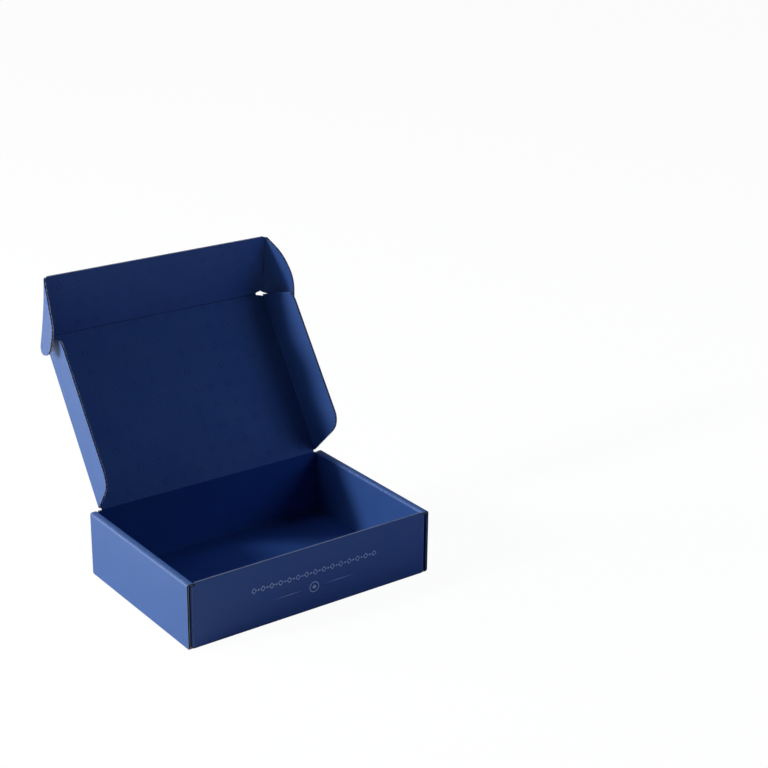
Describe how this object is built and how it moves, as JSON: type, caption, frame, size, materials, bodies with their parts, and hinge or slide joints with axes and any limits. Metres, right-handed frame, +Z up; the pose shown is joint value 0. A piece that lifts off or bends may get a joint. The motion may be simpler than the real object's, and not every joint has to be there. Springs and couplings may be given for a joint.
{
  "type": "corrugated mailer box",
  "caption": "Shallow roll-end mailer box of corrugated board, standing open: a tray with rolled side walls, a hinged lid with side wings, and a tuck flap with ears.",
  "frame": {"origin": "centre of the tray's base, on its underside", "axes": "+Z up, front wall facing -Y, lid hinged at the +Y wall"},
  "size_m": [0.2508, 0.2498, 0.2471],
  "materials": {
    "blue_board": "matte printed liner",
    "raw_edge": "cut corrugated edge",
    "pale_ink": "matte print"
  },
  "bodies": {
    "tray": {"tray": "blue_board"},
    "lid": {"lid": "blue_board"},
    "left_wing": {"left_wing": "blue_board"},
    "right_wing": {"right_wing": "blue_board"},
    "tuck_flap": {"tuck_flap": "blue_board"},
    "left_ear": {"left_ear": "blue_board"},
    "right_ear": {"right_ear": "blue_board"}
  },
  "joints": [
    {"name": "lid_hinge", "type": "hinge", "parent": "tray", "child": "lid", "pos_m": [0, 0.08015, 0.06025], "axis": [-1, 0, 0], "range_deg": [-106, 31]},
    {"name": "left_wing_fold", "type": "hinge", "parent": "lid", "child": "left_wing", "pos_m": [-0.1112, 0.08015, 0.06025], "axis": [0, -0.5592, -0.829], "range_deg": [-11, 4]},
    {"name": "right_wing_fold", "type": "hinge", "parent": "lid", "child": "right_wing", "pos_m": [0.1112, 0.08015, 0.06025], "axis": [0, 0.5592, 0.829], "range_deg": [-11, 4]},
    {"name": "tuck_fold", "type": "hinge", "parent": "lid", "child": "tuck_flap", "pos_m": [0, 0.16794, 0.19041], "axis": [-1, 0, 0], "range_deg": [-11, 41]},
    {"name": "left_ear_fold", "type": "hinge", "parent": "tuck_flap", "child": "left_ear", "pos_m": [-0.1116, 0.16794, 0.19041], "axis": [0, 0.1219, -0.9925], "range_deg": [0, 70]},
    {"name": "right_ear_fold", "type": "hinge", "parent": "tuck_flap", "child": "right_ear", "pos_m": [0.1116, 0.16794, 0.19041], "axis": [0, -0.1219, 0.9925], "range_deg": [0, 70]}
  ],
  "couplings": [
    {"joint": "left_wing_fold", "follows": "lid_hinge", "ratio": 0.1},
    {"joint": "right_wing_fold", "follows": "lid_hinge", "ratio": 0.1}
  ]
}
